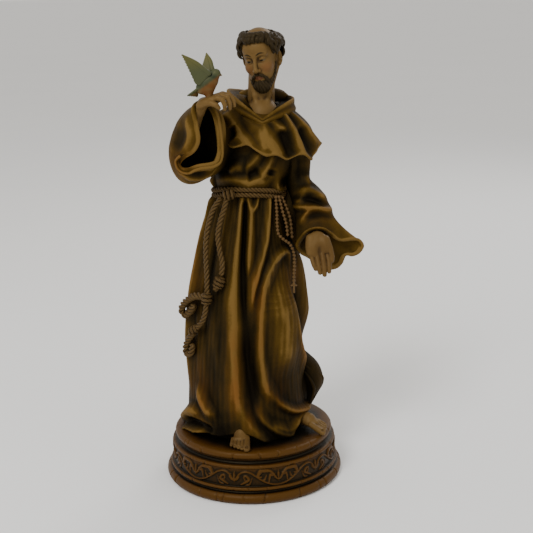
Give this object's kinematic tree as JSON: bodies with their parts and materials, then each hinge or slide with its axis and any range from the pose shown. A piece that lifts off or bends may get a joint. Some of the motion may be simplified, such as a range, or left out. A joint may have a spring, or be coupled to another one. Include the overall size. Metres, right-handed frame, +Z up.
{
  "type": "painted resin statue of a standing friar",
  "caption": "Standing friar in a hooded habit with a rope girdle, a small bird on the raised hand, on a round moulded plinth with a vine frieze.",
  "frame": {"origin": "centre of the plinth's flat underside", "axes": "+Z up, the figure's front faces -Y, +X to the viewer's right"},
  "size_m": [0.1156, 0.104, 0.2603],
  "materials": {
    "habit": "painted resin, olive brown with golden bronze dry-brushed on the folds and dark hollows, satin",
    "skin": "painted resin, warm tan flesh with darker hollows, satin",
    "hair": "painted resin, dark brown, satin",
    "cord": "painted resin, tan brown rope with dark grooves",
    "plinth": "painted resin, amber brown like aged gilding with black-brown recesses, satin",
    "bird": "painted resin, teal back, olive wings, orange breast"
  },
  "bodies": {
    "root": {"plinth": "plinth", "figure": "habit", "bird": "bird"}
  },
  "joints": []
}
